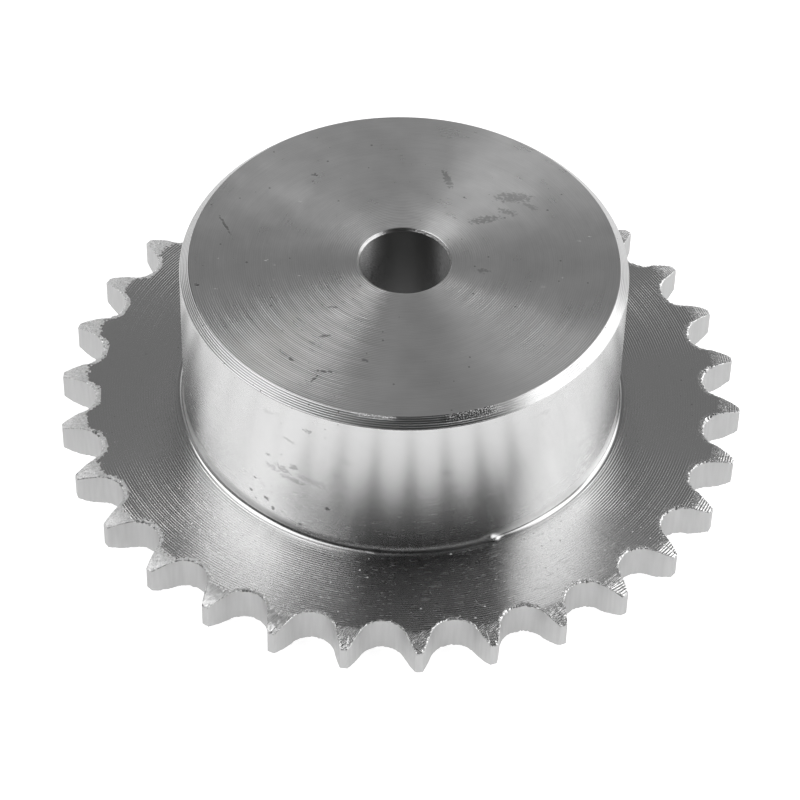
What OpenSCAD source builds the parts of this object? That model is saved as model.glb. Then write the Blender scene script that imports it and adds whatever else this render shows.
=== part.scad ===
// Roller chain sprocket with a hub on one side, turned and hobbed from one piece of steel.
// It lies on the flat side of its toothed plate, with the hub standing up along +Z.
// The axis of the bore is the Z axis, and the plate's flat side is at z = 0. Millimetres.

/* [Chain] */
// Distance from one roller of the chain to the next
chain_pitch = 9.525; // [9:0.005:10.5]
// Diameter of the chain's rollers
roller_d = 6.35; // [5.9:0.01:6.6]
// Clear width between the chain's inner links
inner_width = 5.72; // [4:0.01:8]

/* [Teeth] */
// Number of teeth round the rim
teeth = 30; // [26:1:40]
// Fullness of the tooth gaps, 0 for the tightest standard gap and 1 for the widest
gap_form = 0.45; // [0:0.05:0.8]
// Reach of the tooth tips, 0 for the smallest standard tip circle and 1 for the largest
tip_reach = 0.18; // [0:0.01:0.4]
// Depth that the rounded tooth sides lose at the tip, on each side
relief_depth = 0.78; // [0.3:0.01:1.3]
// Width of the small 45 degree bevel round each roller seat's mouth
edge_break = 0.2; // [0.05:0.01:0.4]

/* [Hub] */
// Diameter of the hub
hub_d = 60.3; // [36:0.1:66]
// Length of the sprocket along its bore, plate and hub together
length = 30; // [16:0.5:45]
// Width of the 45 degree chamfer round the hub's free end
hub_chamfer = 1.25; // [0.4:0.05:2.5]
// Radius of the fillet where the hub stands on the plate
hub_fillet = 1.2; // [0.4:0.1:2]

/* [Bore] */
// Diameter of the pilot bore
bore_d = 12; // [8:0.5:30]
// Width of the chamfer at both mouths of the bore
bore_chamfer = 0.36; // [0.2:0.02:1.5]

/* [Hidden] */

// The standard's rules for a roller chain sprocket
plate_t = 0.93 * inner_width;
pitch_r = chain_pitch / 2 / sin(180 / teeth);
side_radius = chain_pitch;

function between(tight, wide) = tight + (wide - tight) * gap_form;

// Roller seat: its radius and the angle that it spans
seat_r = between(0.505 * roller_d, 0.505 * roller_d + 0.069 * pow(roller_d, 1 / 3));
seat_angle = between(140 - 90 / teeth, 120 - 90 / teeth);
// Flank: the convex arc from the seat's end to the tip
flank_r = between(0.12 * roller_d * (teeth + 2), 0.008 * roller_d * (teeth * teeth + 180));

// Tip circle, between the standard's limits
tip_r_low = pitch_r + (chain_pitch * (1 - 1.6 / teeth) - roller_d) / 2;
tip_r_high = pitch_r + (1.25 * chain_pitch - roller_d) / 2;
tip_r = tip_r_low + (tip_r_high - tip_r_low) * tip_reach;
root_r = pitch_r - seat_r;

// The tooth sides curve away from this radius outward
relief_run = sqrt(relief_depth * (2 * side_radius - relief_depth));

// The hub stays inside the ring that the chain's link plates sweep
hub_r = min(hub_d / 2, root_r - hub_fillet - 2);

// The seat and flank arcs cross by this little, so that their faces meet in one clean edge
arc_lap = 0.002;
over = 1;

steel = [0.60, 0.60, 0.61];

function along(angle, dist) = [dist * cos(angle), dist * sin(angle)];

// Outline of one tooth gap, seen along the bore, with the gap's middle on the X axis
module gap_outline() {
    side = 180 - seat_angle / 2;
    centre = [pitch_r, 0];
    far = tip_r + over;
    half_far = far * tan(180 / teeth);
    translate(centre)
        circle(r = seat_r, $fn = 60);
    difference() {
        polygon([
            centre,
            centre + along(side, seat_r + 2),
            [far, half_far],
            [far, -half_far],
            centre + along(-side, seat_r + 2)
        ]);
        for (s = [-1, 1])
            translate(centre + along(s * side, seat_r + flank_r - arc_lap))
                circle(r = flank_r, $fn = 400);
    }
}

// Bevel at the upper mouth of a roller seat: a 45 degree cone on the seat's own axis,
// edge_break wider than the seat in the plate's face. It fades out along the flanks.
module seat_bevel() {
    low = seat_r - edge_break / 2;
    high = seat_r + 1.5 * edge_break;
    translate([pitch_r, 0, plate_t - 1.5 * edge_break])
        cylinder(r1 = low, r2 = high, h = high - low, $fn = 60);
}

module tooth_gap() {
    translate([0, 0, -over])
        linear_extrude(height = plate_t + 2 * over)
            gap_outline();
    seat_bevel();
    translate([0, 0, plate_t])
        mirror([0, 0, 1])
            seat_bevel();
}

// Half section of the blank: flat plate, hub, and bore with its chamfers
module straight_section() {
    bore_r = bore_d / 2;
    mouth_r = bore_r + bore_chamfer;
    polygon([
        [bore_r, bore_chamfer],
        [mouth_r, 0],
        [tip_r, 0],
        [tip_r, plate_t],
        [hub_r, plate_t],
        [hub_r, length - hub_chamfer],
        [hub_r - hub_chamfer, length],
        [mouth_r, length],
        [bore_r, length - bore_chamfer]
    ]);
}

// Fillet in the corner between the plate and the hub
module fillet_section() {
    difference() {
        translate([hub_r - 0.2, plate_t - 0.2])
            square(hub_fillet + 0.2);
        translate([hub_r + hub_fillet, plate_t + hub_fillet])
            circle(r = hub_fillet + arc_lap, $fn = 48);
    }
}

// What the rounding tool takes off the upper side of the teeth
module relief_section() {
    start_r = tip_r - relief_run;
    difference() {
        translate([start_r, plate_t - relief_depth - over])
            square([relief_run + over, relief_depth + 2 * over]);
        translate([start_r, plate_t - side_radius + arc_lap])
            circle(r = side_radius, $fn = 180);
    }
}

module turned_blank() {
    rotate_extrude($fn = 180)
        difference() {
            union() {
                straight_section();
                fillet_section();
            }
            relief_section();
            translate([0, plate_t])
                mirror([0, 1])
                    relief_section();
        }
}

module sprocket() {
    color(steel)
        difference() {
            turned_blank();
            for (i = [0 : teeth - 1])
                rotate([0, 0, (i + 0.5) * 360 / teeth])
                    tooth_gap();
        }
}

sprocket();
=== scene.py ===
# %% [markdown]
# This lesson dresses a chain sprocket in Blender. The real one is turned and hobbed from one
# piece of bare steel, so its look is all in its tool marks: rings left by the lathe, satin
# tooth gaps left by the hob, and rough bevelled tooth sides. The CAD solid could simply be
# given a grey metal, but its flat facets would show none of these marks. So the CAD model is
# loaded first, and a finer skin is drawn over it from the same few sizes.

# %% Load the CAD part
import math
import bpy
import numpy as np
from mathutils import Matrix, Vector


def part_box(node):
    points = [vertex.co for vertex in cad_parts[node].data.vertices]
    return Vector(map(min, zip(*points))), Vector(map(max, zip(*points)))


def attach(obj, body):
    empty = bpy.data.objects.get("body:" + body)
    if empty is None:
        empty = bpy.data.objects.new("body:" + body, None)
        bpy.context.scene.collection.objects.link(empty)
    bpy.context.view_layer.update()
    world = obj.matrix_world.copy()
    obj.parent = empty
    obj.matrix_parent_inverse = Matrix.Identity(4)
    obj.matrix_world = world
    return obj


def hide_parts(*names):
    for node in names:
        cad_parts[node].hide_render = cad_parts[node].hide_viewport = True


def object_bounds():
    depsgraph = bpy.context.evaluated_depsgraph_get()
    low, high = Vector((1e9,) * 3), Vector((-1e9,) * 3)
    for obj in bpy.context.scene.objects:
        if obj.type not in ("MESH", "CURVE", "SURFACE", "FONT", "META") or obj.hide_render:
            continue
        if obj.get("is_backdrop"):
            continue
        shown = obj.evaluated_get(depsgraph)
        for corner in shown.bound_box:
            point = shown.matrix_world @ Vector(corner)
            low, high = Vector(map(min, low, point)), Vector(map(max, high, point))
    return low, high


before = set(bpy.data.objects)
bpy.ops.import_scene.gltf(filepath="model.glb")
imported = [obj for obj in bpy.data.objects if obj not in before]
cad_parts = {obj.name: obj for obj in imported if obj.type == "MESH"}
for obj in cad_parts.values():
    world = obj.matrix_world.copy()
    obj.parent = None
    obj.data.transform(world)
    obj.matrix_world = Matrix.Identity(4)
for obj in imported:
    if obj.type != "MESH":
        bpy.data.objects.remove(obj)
cad_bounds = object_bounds()
mm = 0.001
low_corner, high_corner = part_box("sprocket")
chance = np.random.default_rng(30)
print("CAD box in mm:", [round(v / mm, 2) for v in (*low_corner, *high_corner)])

# %% [markdown]
# A sprocket is drawn from a few rules. The chain's pitch and the number of teeth give the
# circle on which the roller centres run, and the roller gives the round seat between two
# teeth. The chain standard allows a tightest and a widest gap, and this part lies between
# them. The outline could be traced from the picture instead, but the rules draw all thirty
# teeth from four numbers. The script works in millimetres and goes to metres once, where the
# mesh is written.

# %% Sizes of the sprocket
teeth = 30
pitch = 9.525
roller_d = 6.35
inner_width = 5.72
gap_form = 0.45


def between(tight, wide):
    return tight + (wide - tight) * gap_form


pitch_r = pitch / 2 / math.sin(math.pi / teeth)
seat_r = between(0.505 * roller_d, 0.505 * roller_d + 0.069 * roller_d ** (1 / 3))
seat_angle = math.radians(between(140 - 90 / teeth, 120 - 90 / teeth))
flank_r = between(0.12 * roller_d * (teeth + 2), 0.008 * roller_d * (teeth**2 + 180))
tip_r = high_corner[0] / mm
length = high_corner[2] / mm
plate_t = 0.93 * inner_width
hub_r = 30.15
hub_chamfer = 1.25
hub_fillet = 1.2
bore_r = 6
bore_chamfer = 0.36
side_r = pitch
relief_depth = 0.78
relief_start = tip_r - math.sqrt(relief_depth * (2 * side_r - relief_depth))
print("pitch circle %.2f mm, tip circle %.2f mm across" % (2 * pitch_r, 2 * tip_r))
print("plate %.2f mm thick, teeth thinned from a radius of %.2f mm" % (plate_t, relief_start))

# %% [markdown]
# The photograph looks down on the hub at about 46 degrees with a long lens, and the picture
# is turned by a degree and a half. The sprocket stands with one tooth almost at the front.
# A camera could be aimed by eye, but an error of a few pixels would put every edge off its
# place in the picture. So its place was worked out from the tooth tips and the hub's circles,
# and its three axes are written straight into its matrix.

# %% Camera
picture_px = 800


def place_camera(turn, elevation, distance, focal_px, roll, right_px, down_px):
    """Turn, elevation and roll in degrees, distance in mm, the rest in pixels of the picture."""
    a, e, r = math.radians(turn), math.radians(elevation), math.radians(roll)
    back = np.array([math.sin(a) * math.cos(e), -math.cos(a) * math.cos(e), math.sin(e)])
    right = np.array([math.cos(a), math.sin(a), 0])
    up = np.cross(back, right)
    right, up = right * math.cos(r) + up * math.sin(r), up * math.cos(r) - right * math.sin(r)
    camera = bpy.data.objects.new("camera", bpy.data.cameras.new("camera"))
    bpy.context.scene.collection.objects.link(camera)
    axes = np.eye(4)
    axes[:3, 0], axes[:3, 1], axes[:3, 2] = right, up, back
    axes[:3, 3] = (np.array([0, 0, plate_t / 2]) + back * distance) * mm
    camera.matrix_world = Matrix(axes.tolist())
    sensor_mm = 36
    camera.data.sensor_width = sensor_mm
    camera.data.lens = focal_px / picture_px * sensor_mm
    camera.data.shift_x = -right_px / picture_px
    camera.data.shift_y = down_px / picture_px
    camera.data.clip_start, camera.data.clip_end = 0.01, 20
    bpy.context.scene.camera = camera
    return camera


camera = place_camera(1.861, 46.166, 472.65, 3385.3, 1.633, 0.504, 1.773)
print("lens %.0f mm" % camera.data.lens)

# %% [markdown]
# The smears and specks on the steel were found in the picture, so each is known as a pixel.
# The camera turns a pixel into a ray, and the ray meets the hub's end or its side in one
# point. The points could be written in millimetres, but a pixel can be checked against the
# picture at once, and the script can work out the rest by itself.

# %% Places seen in the picture


def ray_through(px, py):
    """The camera's place in mm, and the way it looks through a pixel of the picture."""
    view = np.array(camera.matrix_world)
    spread = camera.data.sensor_width / camera.data.lens
    right = (px / picture_px - 0.5 + camera.data.shift_x) * spread
    up = (0.5 - py / picture_px + camera.data.shift_y) * spread
    return view[:3, 3] / mm, view[:3, :3] @ np.array([right, up, -1])


def seen_on_end(px, py):
    """Where a pixel lies on the hub's end, in mm from the axis."""
    eye, way = ray_through(px, py)
    x, y, _ = eye + way * (length - eye[2]) / way[2]
    return x, y


def seen_on_wall(px, py):
    """How far round the hub and how high on its side a pixel lies, in mm."""
    eye, way = ray_through(px, py)
    a, b, c = way[:2] @ way[:2], eye[:2] @ way[:2], eye[:2] @ eye[:2] - hub_r**2
    x, y, z = eye - way * (b + math.sqrt(b * b - a * c)) / a
    return math.atan2(y, x) * hub_r, z


print("the picture's middle lies %.1f, %.1f mm from the axis" % seen_on_end(400, 400))

# %% [markdown]
# One tooth gap is a round seat with a long convex flank on each side. Thirty Boolean cuts
# would make it quickly, but they leave long thin triangles that shade badly. Here half a gap
# is drawn point by point, from the middle of the seat to the middle of the next tooth, and
# the rim is thirty mirrored pairs of it. Each point lies on its own ray from the axis, so
# every ring near the teeth can use the same rays and the surface stays a clean grid.

# %% Outline of the teeth


def arc(centre, radius, start, stop, count):
    angles = np.linspace(start, stop, count)
    return centre + radius * np.stack([np.cos(angles), np.sin(angles)], 1)


def bearing(v):
    return math.atan2(v[1], v[0]) % (2 * math.pi)


def half_gap():
    seat_centre = np.array([pitch_r, 0])
    seat_end = math.pi - seat_angle / 2
    outward = np.array([math.cos(seat_end), math.sin(seat_end)])
    flank_centre = seat_centre + outward * (seat_r + flank_r)
    corner_r = 0.06
    d = np.hypot(*flank_centre)
    along = ((tip_r - corner_r) ** 2 - (flank_r - corner_r) ** 2 + d**2) / (2 * d)
    across = math.sqrt((tip_r - corner_r) ** 2 - along**2)
    e = flank_centre / d
    corner = along * e + across * np.array([e[1], -e[0]])
    leave = bearing(corner - flank_centre)
    seat = arc(seat_centre, seat_r, math.pi, seat_end, 20)
    flank = arc(flank_centre, flank_r, bearing(-outward), leave, 17)[1:]
    round_off = arc(corner, corner_r, leave, 2 * math.pi + bearing(corner), 3)[1:]
    land = arc(0, tip_r, bearing(corner), math.pi / teeth, 3)[1:]
    return np.concatenate([seat, flank, round_off, land])


def turned_by(points, angle):
    c, s = math.cos(angle), math.sin(angle)
    return points @ np.array([[c, s], [-s, c]])


half = half_gap()
gap = np.concatenate([half[:0:-1] * [1, -1], half[:-1]])
rim = np.concatenate([turned_by(gap, (i + 0.5) * 2 * math.pi / teeth) for i in range(teeth)])
rim_r = np.hypot(*rim.T)
rim_turn = np.unwrap(np.arctan2(rim[:, 1], rim[:, 0]))
print(len(rim), "points round the rim, all in order:", bool((np.diff(rim_turn) > 0).all()))

# %% [markdown]
# Hob and lathe leave no perfect edge. The hob pushes a thin burr up round each gap, and the
# edge is broken more at the seat than at the tips. A bump in the material could hint at
# this, but it would vanish at the outline, where the eye looks for it, so it is real shape.
# One random number for each rim point, smoothed with its neighbours, makes the edge ragged
# in a steady way. The torn bevels follow a sum of short waves that run in random directions.
# The same waves serve every ring, which keeps the bumps whole.

# %% Random height


def ragged(width):
    """A random number for each rim point, smoothed over a few neighbours."""
    noise = np.tile(chance.standard_normal(len(rim)), 3)
    noise = np.convolve(noise, np.hanning(width + 2)[1:-1], "same")
    noise = noise[len(rim):2 * len(rim)]
    return noise / noise.std()


def ripples(shortest, longest, count=24):
    """A bumpy height of about one either way, as a function of the place on the plate."""
    turn, start = chance.uniform(0, 2 * math.pi, (2, count))
    along = np.stack([np.cos(turn), np.sin(turn)]) / chance.uniform(shortest, longest, count)
    return lambda xy: np.sin(2 * math.pi * (xy @ along) + start).sum(1) / math.sqrt(count / 2)


tangent = np.roll(rim, -1, 0) - np.roll(rim, 1, 0)
inward = np.stack([-tangent[:, 1], tangent[:, 0]], 1) / np.hypot(*tangent.T)[:, None]
at_seat = np.clip((relief_start + 1.2 - rim_r) / 1.5, 0, 1)
sideways = np.abs(np.cos(rim_turn))
core_r = 41.6
core = core_r * np.stack([np.cos(rim_turn), np.sin(rim_turn)], 1)
print("flat ring under the teeth out to %.1f mm, seats down to %.2f mm" % (core_r, rim_r.min()))

# %% [markdown]
# The sides of the teeth are thinned by an arc, so that the chain finds its way on. Here that
# is a row of rings between the flat plate and the rim, each a little lower than the last.
# A Bevel modifier could only make a flat slope of one width. Rings made in code can also say,
# point by point, where the clean turned side ends and the torn one starts.

# %% Rings of the toothed rim


def side_drop(r):
    run = np.clip(r - relief_start, 0, None)
    return side_r - np.sqrt(side_r**2 - run**2)


def toothed_side(steps):
    """Rings from the flat plate out to the rim as x, y and depth, and where they are torn."""
    bumps, fringe = ripples(0.6, 1.4), ripples(0.4, 1.1)
    uneven = np.clip(1 + 0.45 * ragged(1) + 0.3 * ragged(5), 0.2, 2.2)
    edge = (0.05 + (0.05 + 0.09 * sideways) * at_seat) * uneven
    worn = 0.25 + 0.65 * sideways
    lip = rim + inward * edge[:, None]
    burr = np.clip(0.03 * ragged(1) + 0.02 * ragged(6), -0.02, 0.08)
    start = relief_start + 0.1 + 0.35 * np.clip(1 + np.cos(rim_turn), 0, 1.3)
    rings, torn = [], []
    for share in np.linspace(0, 1, steps) ** 0.9:
        xy = core + (lip - core) * share
        r, from_rim = np.hypot(*xy.T), np.hypot(*(rim - xy).T)
        wear = np.maximum(r - start, worn - from_rim) + 0.16 * fringe(xy)
        torn.append(wear > 0)
        rolled = 0.1 * sideways * at_seat * np.clip(1 - from_rim / 0.6, 0, 1) ** 2
        raised = burr * np.clip(1.2 - from_rim / 0.28, 0, 1)
        height = 0.01 * np.clip(wear / 0.6, 0, 1) * bumps(xy) + raised - rolled
        rings.append(np.column_stack([xy, side_drop(r) - height]))
    from_lip = side_drop(rim_r) - side_drop(np.hypot(*lip.T)) + edge
    rings.append(np.column_stack([rim, rings[-1][:, 2] + from_lip]))
    return rings, torn


upper, upper_torn = toothed_side(16)
lower, lower_torn = toothed_side(11)
for ring in lower:
    ring[:, 2] = np.maximum(ring[:, 2], 0)
print(len(upper), "rings over the teeth and", len(lower), "under them")
print("torn share of the upper side: %.2f" % np.mean(upper_torn))

# %% [markdown]
# A skin made of rings needs three tools: one that stores a ring of points, one that fills
# the band between two rings of the same length, and one that joins a coarse ring to a fine
# one. Each face also notes its zone, which later chooses its finish. Blender's bridge tool
# would fill the bands too, but it can't note the zones.

# %% Bands between rings
zone_names = [
    "faced_end", "chamfer", "hub_wall", "root", "plate_side", "tooth_side", "edge", "tooth_flank", "bore",
]
points, faces, zones = [], [], []
coarse_steps = 360
coarse_turn = np.arange(coarse_steps) * 2 * math.pi / coarse_steps


def put_ring(xyz):
    start = len(points)
    points.extend((np.asarray(xyz) * mm).tolist())
    return list(range(start, start + len(xyz)))


def band(inner, outer, zone):
    """Quads between two rings of equal length, with one zone for all or one for each."""
    n = len(inner)
    faces.extend((inner[i], outer[i], outer[(i + 1) % n], inner[(i + 1) % n]) for i in range(n))
    zones.extend([zone] * n if isinstance(zone, str) else zone)


def side_zones(torn):
    return ["tooth_side" if t else "plate_side" for t in torn]


def nearest_rim_point(turn):
    away = (rim_turn - turn + math.pi) % (2 * math.pi) - math.pi
    return int(np.argmin(np.abs(away)))


def zipper(coarse, fine, zone, flip):
    """Joins a coarse ring to a fine one on flat ground, one many-sided face for each step."""
    cut = [nearest_rim_point(turn) for turn in coarse_turn]
    for i, a in enumerate(cut):
        after = (i + 1) % coarse_steps
        b = cut[after]
        run = [fine[k % len(fine)] for k in range(a, b + 1 if b > a else b + len(fine) + 1)]
        face = [coarse[after], coarse[i]] + run
        faces.append(face[::-1] if flip else face)
        zones.append(zone)


print(len(zone_names), "zones:", ", ".join(zone_names))

# %% [markdown]
# Hub and bore are turned, so one profile is enough for them. It is the list of corners that
# the lathe tool passes, from the plate's upper face over the hub, through the bore and out
# under the plate. A Screw modifier would sweep such a profile as well. Rings made in code
# can also carry the few burrs that stick in the corner at the hub's foot. Every sharp corner
# is blunted by a few hundredths of a millimetre, because a real one always catches light. The
# profile begins and ends at joining_r, half way out on the plate, where it meets the teeth.

# %% Profile of hub and bore
joining_r = 35
foot_width = 0.7 * hub_fillet
blunting = 0.07
nearly_straight = -0.97
# Each burr: bearing in degrees, height and size in mm.
foot_burrs = [(-64.2, 5.9, 0.4), (-62.8, 5.6, 0.22), (-93.4, 5.5, 0.14)]


def round_ring(r, z):
    """A ring of the hub or bore, with the burrs in the hub's foot."""
    for turn, height, size in foot_burrs:
        away = (coarse_turn - math.radians(turn) + math.pi) % (2 * math.pi) - math.pi
        swell = size * np.exp(-(away * hub_r / 0.4) ** 2 - ((z - height) / 0.3) ** 2)
        r = r + swell * (hub_r <= r) * (z > 5)
    level = np.full(coarse_steps, float(z))
    return put_ring(np.column_stack([r * np.cos(coarse_turn), r * np.sin(coarse_turn), level]))


def turned_profile():
    """Corners of the hub and bore from the plate's upper face to its lower one."""
    yield joining_r, plate_t, "plate_side"
    yield hub_r + 1.2, plate_t, "plate_side"
    yield hub_r + 1.05, plate_t - 0.025, "plate_side"
    yield hub_r + 0.9, plate_t, "plate_side"
    for turn in np.linspace(90, 0, 13):
        a = math.radians(turn)
        zone = "root" if turn > 30 else "hub_wall"
        out, up = foot_width * (1 - math.cos(a)), hub_fillet * (1 - math.sin(a))
        yield hub_r + out, plate_t + up, zone
    for z in (12, 18, 24, length - hub_chamfer):
        yield hub_r, z, "hub_wall"
    yield hub_r - hub_chamfer, length, "chamfer"
    for r in (24, 18, 12, bore_r + bore_chamfer):
        yield r, length, "faced_end"
    for z in (length - bore_chamfer, 22, 15, 8, bore_chamfer):
        yield bore_r, z, "bore"
    yield bore_r + bore_chamfer, 0, "bore"
    for r in (12, 20, 28, joining_r):
        yield r, 0, "plate_side"


def turned_rings():
    """The same profile with its sharp corners blunted."""
    corners = list(turned_profile())
    yield corners[0]
    for before, here, after in zip(corners, corners[1:], corners[2:]):
        p, a, b = (np.array(c[:2]) for c in (here, before, after))
        to_a, to_b = (a - p) / np.hypot(*(a - p)), (b - p) / np.hypot(*(b - p))
        if to_a @ to_b > nearly_straight:
            for d in (blunting, blunting / 2, -blunting / 2, -blunting):
                q = p + (to_a if d > 0 else to_b) * abs(d)
                yield q[0], q[1], here[2] if d > -blunting else after[2]
        else:
            yield here
    yield corners[-1]


print(len(list(turned_profile())), "corners become", len(list(turned_rings())), "rings")

# %% [markdown]
# Now the rings become one closed mesh: the turned ones first, then the toothed ones round
# the rim and back under it. Two bands join the coarse rings to the fine ones where the plate
# is flat, so nothing can be seen of the change. Shading is smooth, except along the broken
# edges of the teeth, which are marked sharp so that they stay crisp. The piece replaces the
# CAD solid in the picture, and the solid stays for the physics.

# %% Build the mesh
last = first = None
for r, z, zone in turned_rings():
    ring = round_ring(r, z)
    if last:
        band(ring, last, zone)
    first, last = first or ring, ring

fine_rings = [put_ring(np.column_stack([u[:, :2], plate_t - u[:, 2]])) for u in upper]
fine_zones = [side_zones(torn) for torn in upper_torn[:-1]] + ["edge"]
wall_top, wall_bottom = plate_t - upper[-1][:, 2], lower[-1][:, 2]
wall_steps = 5
for share in np.linspace(0, 1, wall_steps + 1)[1:-1]:
    fine_rings.append(put_ring(np.column_stack([rim, wall_top + (wall_bottom - wall_top) * share])))
fine_rings += [put_ring(u) for u in lower[::-1]]
fine_zones += ["tooth_flank"] * wall_steps + ["edge"]
fine_zones += [side_zones(torn) for torn in lower_torn[-2::-1]]
for inner, outer, zone in zip(fine_rings, fine_rings[1:], fine_zones):
    band(inner, outer, zone)
zipper(first, fine_rings[0], "plate_side", False)
zipper(last, fine_rings[-1], "plate_side", True)

mesh = bpy.data.meshes.new("sprocket_steel")
mesh.from_pydata(points, [], faces)
mesh.shade_smooth()
mesh.polygons.foreach_set("material_index", [zone_names.index(z) for z in zones])

lip, under = len(upper) - 2, len(fine_rings) - len(lower)
edge_rings = [v for k in (lip, lip + 1, under, under + 1) for v in fine_rings[k]]
ends = np.empty(2 * len(mesh.edges), int)
mesh.edges.foreach_get("vertices", ends)
on_edge = np.isin(ends, edge_rings).reshape(-1, 2).all(1)
mesh.attributes.new("sharp_edge", "BOOLEAN", "EDGE").data.foreach_set("value", on_edge)

steel_piece = bpy.data.objects.new("sprocket_steel", mesh)
bpy.context.scene.collection.objects.link(steel_piece)
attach(steel_piece, "root")
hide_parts("sprocket")

mesh.calc_loop_triangles()
nearly_flat = 0.9
facing_up = sum(face.normal.z > nearly_flat for face in mesh.polygons)
facing_down = sum(face.normal.z < -nearly_flat for face in mesh.polygons)
print(len(mesh.loop_triangles), "triangles,", facing_up, "faces up and", facing_down, "down")

# %% [markdown]
# A steel finish is a pattern over the surface. Node webs soon become hard to read, so the
# patterns are written as sums instead. A Field stands for one number that varies over the
# surface, and adding or multiplying fields makes the Math nodes behind them.

# %% Fields


class Field:
    """A number that varies over the surface."""

    def __init__(self, owner, socket):
        self.owner, self.socket = owner, socket

    def math(self, operation, *others):
        return self.owner.math(operation, self, *others)

    def __add__(self, other):
        return self.math("ADD", other)

    __radd__ = __add__

    def __sub__(self, other):
        return self.math("SUBTRACT", other)

    def __rsub__(self, other):
        return self * -1 + other

    def __mul__(self, other):
        return self.math("MULTIPLY", other)

    __rmul__ = __mul__

    def __truediv__(self, other):
        return self.math("DIVIDE", other)

    def fraction(self):
        return self.math("FRACT")

    def size(self):
        return self.math("ABSOLUTE")

    def squared(self):
        return self * self

    def larger(self, other):
        return self.math("MAXIMUM", other)

    def ramp(self, start, end):
        """0 up to start, 1 from end on, with a soft change between them."""
        return self.owner.ramp(self, start, end)


print("fields can", ", ".join(name for name in vars(Field) if not name.startswith("_")))

# %% [markdown]
# The materials, the floor and the world all begin with the same thing: the place of the
# point that is shaded. Object coordinates are used, because they stay on the part when the
# camera moves, and they need no unwrapping. They are turned into millimetres, so that every
# pattern can be given the size it has on the real part.

# %% Patterns


class Tree:
    """Nodes of a material or world, with the place on the part in millimetres."""

    def __init__(self, data, coordinate="Object", scale=1000):
        data.use_nodes = True
        self.nodes, self.links = data.node_tree.nodes, data.node_tree.links
        place = self.nodes.new("ShaderNodeTexCoord").outputs[coordinate]
        parts = self.nodes.new("ShaderNodeSeparateXYZ")
        self.links.new(place, parts.inputs[0])
        self.x, self.y, self.z = (Field(self, s) * scale for s in parts.outputs)

    def give(self, socket, value):
        if isinstance(value, Field):
            self.links.new(value.socket, socket)
        else:
            socket.default_value = value

    def node(self, kind, inputs, **settings):
        node = self.nodes.new("ShaderNode" + kind)
        for name, value in settings.items():
            setattr(node, name, value)
        for name, value in inputs.items():
            self.give(node.inputs[name], value)
        return node

    def math(self, operation, *values):
        node = self.node("Math", dict(enumerate(values)), operation=operation)
        return Field(self, node.outputs[0])

    def ramp(self, value, start, end):
        node = self.node("MapRange", {0: value, 1: start, 2: end}, interpolation_type="SMOOTHSTEP")
        if start > end:
            node.inputs[1].default_value, node.inputs[2].default_value = end, start
            node.inputs[3].default_value, node.inputs[4].default_value = 1, 0
        return Field(self, node.outputs[0])

    def vector(self, x, y, z):
        return Field(self, self.node("CombineXYZ", {0: x, 1: y, 2: z}).outputs[0])

    def noise(self, x, y, z, detail=2, coarse=0.5):
        """Smooth noise from 0 to 1 whose spots are one unit apart."""
        inputs = {"Vector": self.vector(x, y, z), "Scale": 1, "Detail": detail, "Roughness": coarse}
        return Field(self, self.node("TexNoise", inputs).outputs[0])

    def specks(self, u, v, size, share):
        """Round specks of up to a given size: one place in every unit, a share of them used."""
        place = {"Vector": self.vector(u, v, 0), "Scale": 1}
        cells = self.node("TexVoronoi", place, voronoi_dimensions="2D")
        chosen = self.node("SeparateXYZ", {})
        self.links.new(cells.outputs["Color"], chosen.inputs[0])
        luck, spread = Field(self, chosen.outputs[0]), Field(self, chosen.outputs[1])
        near = (Field(self, cells.outputs["Distance"]) / (spread * 0.8 + 0.2)).ramp(size, size * 0.5)
        return near * luck.ramp(1 - share, 1.001 - share)

    def smear(self, u, v, x, y, long, wide, turn):
        """An oval mark with a ragged edge: its place and its half length and width in mm."""
        c, s = math.cos(math.radians(turn)), math.sin(math.radians(turn))
        along = ((u - x) * c + (v - y) * s) / long
        across = ((v - y) * c - (u - x) * s) / wide
        wobble = self.noise(u / 0.5, v / 0.35, 0, 3) * 4.4 - 2.2
        return (along.squared() + across.squared() + wobble).ramp(1, 0.2)


print("patterns: noise, specks and smears, all measured in millimetres")

# %% [markdown]
# Every zone is the same steel, so one class starts them all: a grey metal whose highlight is
# stretched across the tool marks. The grooves of a lathe are too fine and too many to model,
# and fine grooves together make just this stretched, brushed light. The lathe's rings run
# round the axis, so the tangent is radial about Z, and the stretch is turned by a quarter to
# lie across them. The grooves that can be seen one by one are a bump on top of that. At a
# flat angle real steel mirrors less than the plain metal shader, so its tint there is grey.
# The feeds are how far the lathe's tool moved in one turn, so they are the rings' distances.

# %% Steel
steel_tone = 0.63
grazing_tone = 0.82
fine_feed = 0.3
plate_feed = 0.35


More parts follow.
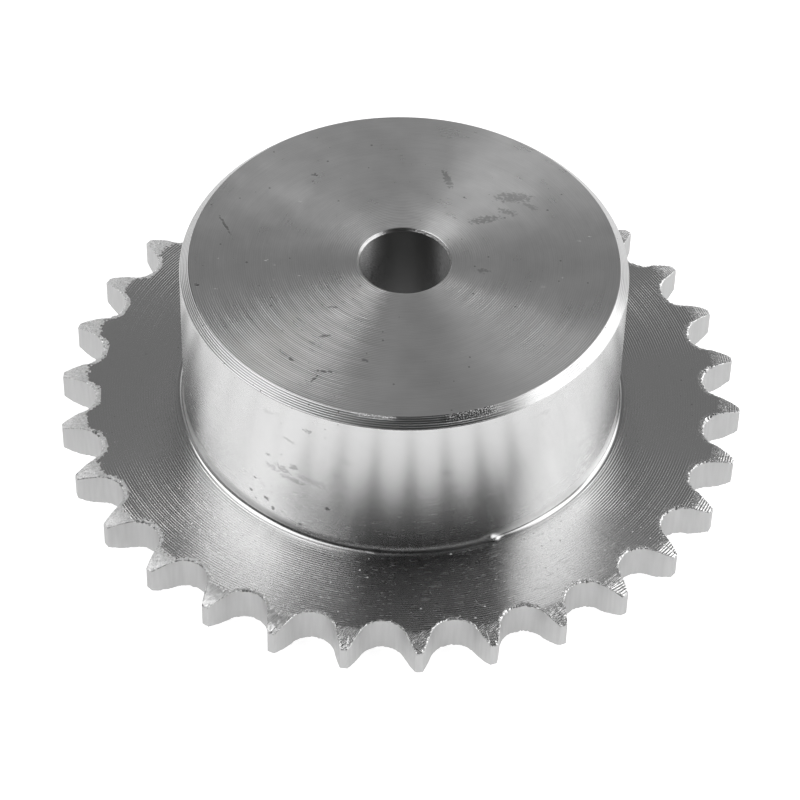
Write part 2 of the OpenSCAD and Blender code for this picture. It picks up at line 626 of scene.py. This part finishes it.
class Steel(Tree):
    """The bare steel that every finish starts from."""

    def __init__(self, name, stretch=0.0):
        self.material = bpy.data.materials.new(name)
        super().__init__(self.material)
        self.shader = self.nodes["Principled BSDF"]
        self.set("Base Color", (steel_tone, steel_tone, steel_tone, 1))
        self.set("Metallic", 1)
        self.set("Specular Tint", (grazing_tone, grazing_tone, grazing_tone, 1))
        self.set("Anisotropic", stretch)
        self.set("Anisotropic Rotation", 0.25)
        tangent = self.node("Tangent", {}, direction_type="RADIAL", axis="Z")
        self.links.new(tangent.outputs[0], self.shader.inputs["Tangent"])
        self.radius = (self.x * self.x + self.y * self.y).math("SQRT")
        self.east, self.north = self.x / self.radius, self.y / self.radius
        self.angle = self.y.math("ARCTAN2", self.x)

    def set(self, name, value):
        self.give(self.shader.inputs[name], value)

    def around(self, run, length_share, detail=2):
        """Noise drawn out along the lathe's rings; run is in units of the noise."""
        return self.noise(self.east * length_share, self.north * length_share, run, detail)

    def sector(self, start, end, soft):
        """1 in a sector between two bearings in degrees, with soft edges inside it."""
        a, b, s = math.radians(start), math.radians(end), math.radians(soft)
        return self.angle.ramp(a, a + s) * self.angle.ramp(b, b - s)

    def grooves(self, run, pitch, depth):
        """Rings left by a round-nosed tool: a row of shallow troughs, in millimetres."""
        wander = self.around(run * 0.7, 4, 1) * 0.2
        uneven = self.around(run / pitch * 0.8, 3, 1) * 0.6 + 0.7
        return ((run / pitch + wander).fraction() * 2 - 1).squared() * uneven * depth

    def relief(self, height):
        """Height in millimetres becomes a bump."""
        bump = self.node("Bump", {"Height": height, "Distance": mm, "Strength": 1})
        self.links.new(bump.outputs[0], self.shader.inputs["Normal"])


def add_finish(steel):
    """Gives the finish to the mesh; the finishes come in the order of the zone names."""
    mesh.materials.append(steel.material)
    print(steel.material.name, "is finish", len(mesh.materials), "with", len(steel.nodes), "nodes")


# %% [markdown]
# The end of the hub was faced off on the lathe, in rings 0.3 mm apart. They still catch the
# light at the front, and elsewhere handling has rubbed them down and left a thin film of oil
# with smears, specks and short scratches. The marks could be painted into a mask image.
# Here each is an oval with a ragged edge instead, so that the finish needs no file and stays
# sharp at any distance. Rings are both a bump and a little colour: grime in the troughs and
# painted glints on the crests.
# The colour is also painted lighter at the back and the sides, with a painted reflection of a lamp at the
# back right, and painted darker at the front left, as shade.

# %% Faced end
# Each mark: its pixel in the picture, half length and width in mm, turn in degrees, darkness.
face_marks = {
    "streak behind the bore": (447.5, 179, 2.2, 0.6, -73, 0.3),
    "broad smear": (513, 197.5, 3, 1.1, 4, 0.25),
    "smear next to the bore": (485, 219.5, 2.4, 0.8, 18, 0.3),
    "smear between these two": (507.5, 212, 1.6, 0.6, -18, 0.25),
    "smear at the right": (530, 206.5, 1.4, 0.5, -30, 0.2),
    "long scratch at the left": (225, 225, 2.4, 0.22, -62, 0.4),
    "dot at the back": (314.5, 175, 0.45, 0.35, 0, 0.4),
    "dot at the left": (197, 284.5, 0.4, 0.35, 0, 0.5),
    "dash next to the bore": (333, 307, 1, 0.2, 5, 0.4),
    "dash half way out": (325, 336, 1, 0.24, 15, 0.4),
    "dash at the front": (324.5, 371.5, 1.4, 0.24, -6, 0.5),
    "slanting nick at the front": (314, 379, 0.9, 0.2, 55, 0.5),
    "short dash": (364, 360, 0.7, 0.24, 0, 0.4),
    "nick at the left": (291, 359, 0.5, 0.3, -30, 0.45),
    "faint spot": (483, 271, 1.1, 0.5, 0, 0.25),
}


def faced_end():
    steel = Steel("faced_end", stretch=0.8)
    groove = steel.grooves(steel.radius, fine_feed, 1)
    arcs = steel.around(steel.radius * 3, 5, 3)
    lines = steel.around(steel.radius / 0.24, 3, 1)
    clouds = steel.noise(steel.x / 7, steel.y / 7, 0, 3)
    film = steel.noise(steel.x / 3.5, steel.y / 3.5, 7, 3).ramp(0.38, 0.68) * steel.y.ramp(-6, 6)
    dirt = steel.specks(steel.x / 1.9, steel.y / 1.9, 0.12, 0.12) * 0.45
    for px, py, long, wide, turn, darkness in face_marks.values():
        x, y = seen_on_end(px, py)
        dirt = dirt.larger(steel.smear(steel.x, steel.y, x, y, long, wide, turn) * darkness * 1.2)
    scratch = steel.noise(steel.x / 1.6, steel.y / 0.16, 3, 2).ramp(0.7, 0.78) * clouds.ramp(0.42, 0.6)
    front = steel.north.ramp(-0.15, -0.5)
    left = front * steel.east.ramp(0, -0.4)
    fresh = left + front * steel.east.ramp(0.5, 0.85) * 0.75
    by_the_bore = steel.radius.ramp(14, 9) * steel.north.ramp(0, 0.3)
    rings = fresh * 0.9 + by_the_bore * 0.4 + 0.1
    steel.relief((groove * 0.028 + lines * 0.012) * rings + arcs * 0.004 - scratch * 0.01 - dirt * 0.02)
    rubbed = (1 - fresh) * steel.north.ramp(-0.5, -0.8)
    steel.set("Roughness", 0.25 + arcs * 0.03 + clouds * 0.03 + film * 0.02 + rubbed * 0.09)
    # Painted light: the end is painted lighter at the back and both sides, a bright sector at the back
    # right is a painted reflection of a lamp, and the front left is painted darker as shade; only the film
    # term is the oil film.
    film_and_painted_light = film * 0.03 + steel.north.ramp(-0.2, 0.8) * 0.12 + steel.east.squared() * 0.06
    film_and_painted_light = film_and_painted_light + steel.sector(34, 80, 17) * 0.1 - left * steel.north.ramp(-0.3, -0.65) * 0.2
    tone = steel_tone + (clouds - 0.45) * 0.2 + (arcs - 0.5) * 0.1
    # The rings' colour is grime in the troughs and painted glints on the crests.
    ring_grime_and_glints = ((groove - 0.33) * 0.35 + (lines - 0.5) * 0.3) * rings
    steel.set("Base Color", (tone + film_and_painted_light + ring_grime_and_glints) * (1 - dirt) * (1 - scratch * 0.12))
    return steel


add_finish(faced_end())

# %% [markdown]
# The hub's rim is broken by a chamfer, turned in a few coarse passes that show as four or
# five bright lines; the lines are a bump and also painted highlights in the colour. At the
# front the tool has torn the upper edge, and next to that the edge has been crushed by a knock.
# Both could be cut into the mesh, but they are only a fifth of a millimetre deep, so a strong
# bump limited to two sectors does the same with no extra faces.
# The crushed band is painted dark as shade, lumps along the torn and crushed edge are painted bright as
# glints, and the upper corner at the left is painted darker as shade.

# %% Chamfer


def chamfer():
    steel = Steel("chamfer", stretch=0.6)
    slope = (steel.radius - steel.z) / math.sqrt(2)
    u = steel.angle * hub_r
    groove = steel.grooves(slope, fine_feed, 1)
    top_edge = steel.z.ramp(length - 0.4, length - 0.15)
    torn = steel.sector(-101, -88, 3) * top_edge
    crushed = steel.sector(-79, -61, 5) * steel.z.ramp(length - 0.9, length - 0.6)
    chips = steel.noise(u / 0.22, slope / 0.22, 1, 2)
    steel.relief(groove * 0.022 + chips * (torn + crushed) * 0.12)
    steel.set("Roughness", 0.28 + steel.around(slope * 3, 8) * 0.08 + torn * 0.3)
    nicks = steel.specks(u / 1.4, slope / 1.4, 0.13, 0.1) * 0.7
    right_side = steel.east.ramp(0.2, 0.6)
    # Painted shade along the upper corner at the left.
    corner = steel.z.ramp(length - 0.06, length - 0.02) * steel.east.ramp(0, -0.5)
    darker_at_left_front = steel.east.ramp(-0.65, -0.85) * steel.north.ramp(-0.1, -0.35)
    # The lines are a bump and also painted highlights in the colour; on the right the painted lines fade
    # and the colour is lighter, and at the left front the colour is darker.
    tone = steel_tone * (groove * (1 - right_side * 0.7) * 0.8 + right_side * 0.36 + 0.62 - darker_at_left_front * 0.17)
    # Painted shade in the crushed band.
    painted_dent_shade = crushed * (chips.ramp(0.6, 0.4) * 0.35 + 0.5)
    tone = tone * (1 - nicks) * (1 - painted_dent_shade) * (1 - corner * 0.35)
    # Painted glints on the lumps of the torn and crushed edge.
    steel.set("Base Color", tone + (torn + crushed * top_edge) * chips.ramp(0.5, 0.6) * 0.45)
    return steel


add_finish(chamfer())

# %% [markdown]
# The hub's side is the finest turned surface, almost a mirror along the axis, which draws
# the tooth gaps into it as soft upright bands. Fingers have left dull spots and a cloudy
# patch on it. A mirror with a stretched highlight gives the bands by itself, so nothing of
# them is painted. Only the spots and the faint streaks are patterns.

# %% Hub wall
# Each mark: its pixel in the picture, half length and width in mm, tilt in degrees, darkness.
wall_marks = {
    "small speck at the left": (255.4, 477.4, 0.25, 0.2, 0, 0.6),
    "tilted speck": (251.2, 489.3, 0.4, 0.3, 30, 0.6),
    "faint speck": (255.6, 497.3, 0.35, 0.25, 0, 0.35),
    "dark speck": (266.4, 498.1, 0.5, 0.4, 0, 0.6),
    "tall speck": (273, 508, 0.3, 0.5, 0, 0.6),
    "speck under the bands": (327, 508.8, 0.5, 0.35, 0, 0.6),
    "speck near the foot": (300, 524, 0.4, 0.3, 0, 0.5),
    "smear in the middle": (283, 469.1, 1.4, 0.7, -15, 0.3),
    "smear at its right": (293.4, 467.4, 0.8, 0.6, 20, 0.35),
    "smear at its left": (272.5, 467, 1.4, 0.6, -10, 0.2),
    "smear below it": (291.2, 479, 2.2, 0.6, 0, 0.25),
    "smear in the first band": (312, 481.5, 2.2, 0.7, -5, 0.15),
    "thin streak": (290, 441, 1.3, 0.3, -15, 0.22),
    "short streak": (268.5, 454.5, 0.5, 0.3, 0, 0.35),
    "top speck": (307.8, 431.7, 0.7, 0.4, 0, 0.35),
}


def hub_wall():
    steel = Steel("hub_wall", stretch=0.9)
    arcs = steel.around(steel.z * 3, 9, 3)
    steel.relief(arcs * 0.0003)
    u = steel.angle * hub_r
    dirt = steel.specks(u / 1.6, steel.z / 1.6, 0.1, 0.09) * 0.45
    for px, py, long, wide, tilt, darkness in wall_marks.values():
        run, z = seen_on_wall(px, py)
        mark = steel.smear(u, steel.z, run, z, long, wide, tilt)
        dirt = dirt.larger(mark * darkness)
    patches = steel.noise(u / 8, steel.z / 8, 3).ramp(0.5, 0.6)
    film = steel.noise(u / 3, steel.z / 1.5, 0, 4).ramp(0.55, 0.75) * patches
    streaks = steel.noise(u / 2.5, steel.z / 0.22, 9, 2).ramp(0.6, 0.75) * steel.z.ramp(20, 8)
    foot = steel.z.ramp(plate_t + 2, plate_t + 0.9) * steel.east.size().ramp(0.35, 0.7)
    steel.set("Roughness", 0.24 + arcs * 0.04 + streaks * 0.03 + foot * 0.2)
    steel.set("Base Color", (steel_tone * 1.06 - film * 0.08 + streaks * 0.06) * (1 - dirt))
    return steel


add_finish(hub_wall())

# %% [markdown]
# Between hub and plate runs a small round fillet, left by the corner of the tool. It shows
# as one thin bright line, because somewhere in its curve it faces every lamp. So it needs
# hardly any pattern, only a smooth surface and a steel painted slightly darker, as shade in
# the corner.

# %% Root of the hub


def root():
    steel = Steel("root")
    steel.relief(steel.around(steel.z * 5 + steel.radius * 5, 9) * 0.002)
    steel.set("Roughness", 0.17 + steel.north.ramp(-0.85, -0.97) * 0.1)
    # The fillet's steel is painted darker than the plate, as shade in the corner.
    shaded_root_tone = 0.52
    steel.set("Base Color", (shaded_root_tone, shaded_root_tone, shaded_root_tone, 1))
    return steel


add_finish(root())

# %% [markdown]
# The sides of the plate were turned with a coarser feed, 0.35 mm a turn. The rings stand out
# where they run across the light and fade where they have been worn or where the light runs
# along them. One bump of even depth would show them everywhere, so the depth follows the
# bearing on the upper side. In four narrow sectors at the left and right the rings are also
# painted into the colour, as grime in the troughs and painted glints on the crests. At the
# front there are also short streaks, light flecks and a few dark specks.
# The streaks and flecks are rougher steel, and their colour is painted lighter as glints.

# %% Plate sides


def plate_side():
    steel = Steel("plate_side", stretch=0.62)
    groove = steel.grooves(steel.radius, plate_feed, 1)
    arcs = steel.around(steel.radius * 3, 7, 3)
    aside = steel.east.size()
    right = steel.east.ramp(-0.1, 0.1)
    above = steel.z.ramp(1, 4)
    faint = aside.ramp(0.35, 0.5) * (aside - right * 0.09).ramp(0.76, 0.66) * (right * 0.55 + 0.35) * above
    grime_and_glint_mask = aside.ramp(0.74, 0.84) * (aside - right * 0.06).ramp(0.925, 0.88) * above
    front = steel.north.ramp(-0.5, -0.8)
    streaks = steel.around(steel.radius / 0.25, 26, 2).ramp(0.56, 0.7) * front
    dirt = steel.specks(steel.x / 1.5, steel.y / 1.5, 0.1, 0.08) * 0.4
    flecks = steel.specks(steel.x / 1.2, steel.y / 1.2 + 40, 0.13, 0.14) * (front * 0.85 + 0.15)
    worn = faint * right * steel.north.ramp(0, -0.3)
    steel.relief(groove * (1 - faint) * 0.025 + arcs * 0.002 + flecks * 0.03)
    steel.set("Roughness", 0.16 + arcs * 0.04 + streaks * 0.12 + flecks * 0.5 + worn * 0.1)
    # The streaks and flecks are rougher steel; their lighter colour is a painted glint.
    tone = steel_tone * (1.04 - dirt) + streaks * 0.06 + flecks * 0.15 - worn * 0.05
    # In four narrow sectors at the left and right the rings are painted into the colour: grime in the
    # troughs and painted glints on the crests.
    steel.set("Base Color", tone + (groove - 0.33) * grime_and_glint_mask * 0.5)
    return steel


add_finish(plate_side())

# %% [markdown]
# The bevelled sides of the teeth are the roughest surface. On the left they look hacked, and
# their colour is painted a little lighter there, at the front the cutter has dragged slanting
# streaks over them, and on the right the last fine passes of the lathe are still there near
# the tips. Three materials could be mixed for this, but it is one steel with one grain. So
# the grain itself changes with the bearing.

# %% Tooth sides


def tooth_side():
    steel = Steel("tooth_side")
    grain = steel.noise(steel.x / 0.32, steel.y / 0.32, steel.z / 0.32, 2)
    fine = steel.noise(steel.x / 0.18, steel.y / 0.18, steel.z / 0.18, 2)
    dragged = steel.noise((steel.x + steel.y) / 2, (steel.y - steel.x) / 0.24, 0, 2)
    front = steel.north.ramp(-0.45, -0.8) * steel.east.ramp(-0.7, -0.4)
    grain = grain + (dragged - grain) * front
    fine = fine + (dragged - fine) * front * 0.7
    hacked_and_painted_lighter = steel.east.ramp(-0.25, -0.75)
    last_cut = steel.radius.ramp(45.1, 45.4) * steel.east.ramp(0, 0.5)
    groove = steel.grooves(steel.radius, plate_feed, 0.035) * last_cut
    steel.relief(groove + (grain * 0.07 + fine * 0.03) * (1 - last_cut * 0.7))
    steel.set("Roughness", 0.27 + hacked_and_painted_lighter * 0.3)
    # On the left the colour is painted lighter, a painted highlight; the higher roughness there is the
    # hacked steel.
    steel.set("Base Color", (fine * 0.6 + grain * 0.4 + 0.15) * (1 + hacked_and_painted_lighter * 0.15))
    return steel


add_finish(tooth_side())

# %% [markdown]
# The edge round each gap is a string of tiny torn beads, some bright and some dark. The mesh
# already makes it ragged, and a grain finer than the mesh breaks it up further. The gaps
# themselves were hobbed, which leaves an even satin with faint upright marks. Satin is many
# small facets facing every way, and a high roughness is just that, so no bump is needed but
# a trace along the gap.

# %% Edges and tooth gaps


def edge():
    steel = Steel("edge")
    grain = steel.noise(steel.x / 0.25, steel.y / 0.25, steel.z / 0.25, 2)
    steel.relief(grain * 0.1)
    steel.set("Roughness", 0.35)
    steel.set("Base Color", grain.ramp(0.35, 0.65) * 0.6 + 0.38)
    return steel


def tooth_flank():
    steel = Steel("tooth_flank")
    run = steel.noise(steel.x / 0.5, steel.y / 0.5, steel.z / 6, 3)
    steel.relief(run * 0.01)
    steel.set("Roughness", 0.6)
    steel.set("Base Color", steel_tone * 0.85 + run * 0.12)
    return steel


add_finish(edge())
add_finish(tooth_flank())

# %% [markdown]
# The bore was only drilled and reamed. Its steel is painted dark inside, as shade in the hole,
# with slanting marks on its sides, and its mouth has a small chamfer, painted less dark, that
# is rough on the right.

# %% Bore


def bore():
    steel = Steel("bore", stretch=0.7)
    u = steel.angle * bore_r
    hatch = steel.noise(u / 0.9 + steel.z / 0.9, u / 0.15 - steel.z / 0.15, 0, 2)
    grain = steel.noise(steel.x / 0.25, steel.y / 0.25, steel.z / 0.25, 2)
    mouth = steel.z.ramp(length - bore_chamfer - 0.05, length - bore_chamfer)
    rough_mouth = mouth * steel.east.ramp(0, 0.4)
    steel.relief(steel.grooves(steel.z, 0.25, 0.008) + hatch * 0.02 + grain * rough_mouth * 0.15)
    sides = steel.north.ramp(0.98, 0.5) * steel.north.ramp(-0.2, 0.2) * (1 - mouth)
    steel.set("Roughness", 0.33 + sides * 0.15)
    # The bore's steel is painted dark as shade in the hole, less so at the mouth and along the marks on its
    # sides.
    tone = 0.24 + sides * hatch * 0.9 + mouth * 0.24
    steel.set("Base Color", tone * (1 - rough_mouth * 0.35))
    return steel


add_finish(bore())

# %% [markdown]
# The part lies on white paper. The picture needs the paper pure white, yet it must not throw
# more light on the steel than paper does, or every tooth would glow from below. So the paper
# is a matt grey that keeps the shadow, and it glows only for rays that look at it: the
# camera's own rays and those that the steel or a glass sends on. From below the paper is
# clear, so that the underside can be looked at too.

# %% Floor
floor_half = 3
floor_z = -0.05 * mm
floor_corners = [(x * floor_half, y * floor_half, floor_z) for x, y in ((-1, -1), (1, -1), (1, 1), (-1, 1))]
floor_mesh = bpy.data.meshes.new("floor")
floor_mesh.from_pydata(floor_corners, [], [(0, 1, 2, 3)])
floor = bpy.data.objects.new("floor", floor_mesh)
bpy.context.scene.collection.objects.link(floor)
floor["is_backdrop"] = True


def seen_by(tree, *kinds):
    """1 for the kinds of ray that are named, such as camera rays, and 0 for the others."""
    path = tree.nodes.new("ShaderNodeLightPath")
    total = Field(tree, path.outputs[kinds[0]])
    for kind in kinds[1:]:
        total = total.larger(Field(tree, path.outputs[kind]))
    return total


paper = bpy.data.materials.new("white_paper")
paper_tree = Tree(paper)
paper_sockets = paper_tree.nodes["Principled BSDF"].inputs
paper_grey, paper_glow = 0.5, 0.9
paper_sockets["Base Color"].default_value = (paper_grey, paper_grey, paper_grey, 1)
paper_sockets["Specular IOR Level"].default_value = 0
paper_sockets["Roughness"].default_value = 1
paper_sockets["Emission Color"].default_value = (1, 1, 1, 1)
looked_at = seen_by(paper_tree, "Is Camera Ray", "Is Glossy Ray", "Is Transmission Ray")
paper_tree.give(paper_sockets["Emission Strength"], looked_at * paper_glow)
from_below = paper_tree.nodes.new("ShaderNodeNewGeometry").outputs["Backfacing"]
one_sided = paper_tree.nodes.new("ShaderNodeMixShader")
paper_tree.links.new(from_below, one_sided.inputs[0])
paper_tree.links.new(paper_tree.nodes["Principled BSDF"].outputs[0], one_sided.inputs[1])
paper_tree.links.new(paper_tree.nodes.new("ShaderNodeBsdfTransparent").outputs[0], one_sided.inputs[2])
paper_tree.links.new(one_sided.outputs[0], paper_tree.nodes["Material Output"].inputs["Surface"])
floor_mesh.materials.append(paper)
print("paper %.0f m across" % (2 * floor_half))

# %% [markdown]
# Bare metal has no look of its own: what is seen in it is the studio. Lamps could be placed
# one by one, but drawing them into the world as soft-edged panels shows exactly what the
# steel will mirror. The bright sectors on the rings are the two large panels at the left and
# right, drawn out by the grooves. A low panel at the right lights the chamfer, and pale walls
# stand round the set. The camera sees plain white instead of all this.

# %% Studio light
world = bpy.data.worlds.new("studio")
bpy.context.scene.world = world
sky = Tree(world, "Generated", 1)


def softbox(azimuth, elevation, width, height, strength, soft, roll=0):
    """A flat lit panel far from the part; its sides are given in degrees as the part sees them."""
    a, e, r = math.radians(azimuth), math.radians(elevation), math.radians(roll)
    ahead = sky.x * math.cos(a) + sky.y * math.sin(a)
    toward = ahead * math.cos(e) + sky.z * math.sin(e)
    sideways = (sky.y * math.cos(a) - sky.x * math.sin(a)) / toward
    upwards = (sky.z * math.cos(e) - ahead * math.sin(e)) / toward
    across = sideways * math.cos(r) + upwards * math.sin(r)
    along = upwards * math.cos(r) - sideways * math.sin(r)
    panel = toward.ramp(0, 0.02) * strength
    for offset, side in ((across, width), (along, height)):
        half_side = math.tan(math.radians(side / 2))
        panel = panel * offset.size().ramp(half_side * (1 + soft), half_side * (1 - soft))
    return panel


def glow(azimuth, elevation, half_width, strength):
    """A round patch of light that fades towards its edge."""
    a, e = math.radians(azimuth), math.radians(elevation)
    x, y, z = math.cos(a) * math.cos(e), math.sin(a) * math.cos(e), math.sin(e)
    toward = sky.x * x + sky.y * y + sky.z * z
    return toward.ramp(math.cos(math.radians(half_width)), 1) * strength


left_softbox = softbox(180, 54, 48, 46, 2.35, 0.08, roll=4)
right_softbox = softbox(-3, 39, 64, 28, 2.3, 0.3, roll=40)
low_softbox = softbox(20, 17, 30, 36, 2.1, 0.3)
wall_behind = softbox(95, 9, 98, 30, 0.9, 0.3)
walls_around = sky.z.ramp(0.5, 0.2) * (sky.y.ramp(-0.6, 0) * 0.3 + 0.15)
ceiling_behind = glow(92, 47, 55, 0.22)
light = left_softbox + right_softbox + low_softbox + wall_behind.larger(walls_around) + ceiling_behind
plain_white = seen_by(sky, "Is Camera Ray", "Is Transmission Ray")
backdrop = sky.nodes["Background"].inputs
sky.give(backdrop["Strength"], light * (1 - plain_white) + plain_white)
backdrop["Color"].default_value = (1, 1, 1, 1)
bpy.context.scene.view_settings.view_transform = "Standard"
print("studio drawn with", len(sky.nodes), "nodes")

# %% [markdown]
# Last come the sizes. A dressed part must fit the box of its CAD solid, or it would collide
# with things that the solid clears. Both boxes are kept, so that they can be compared.

# %% Finish
boxes = {"cad": cad_bounds, "visual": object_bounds()}
plain_boxes = {name: [list(map(float, corner)) for corner in box] for name, box in boxes.items()}
for name, (low, high) in plain_boxes.items():
    print(name, "box in mm:", [round((b - a) / mm, 2) for a, b in zip(low, high)])
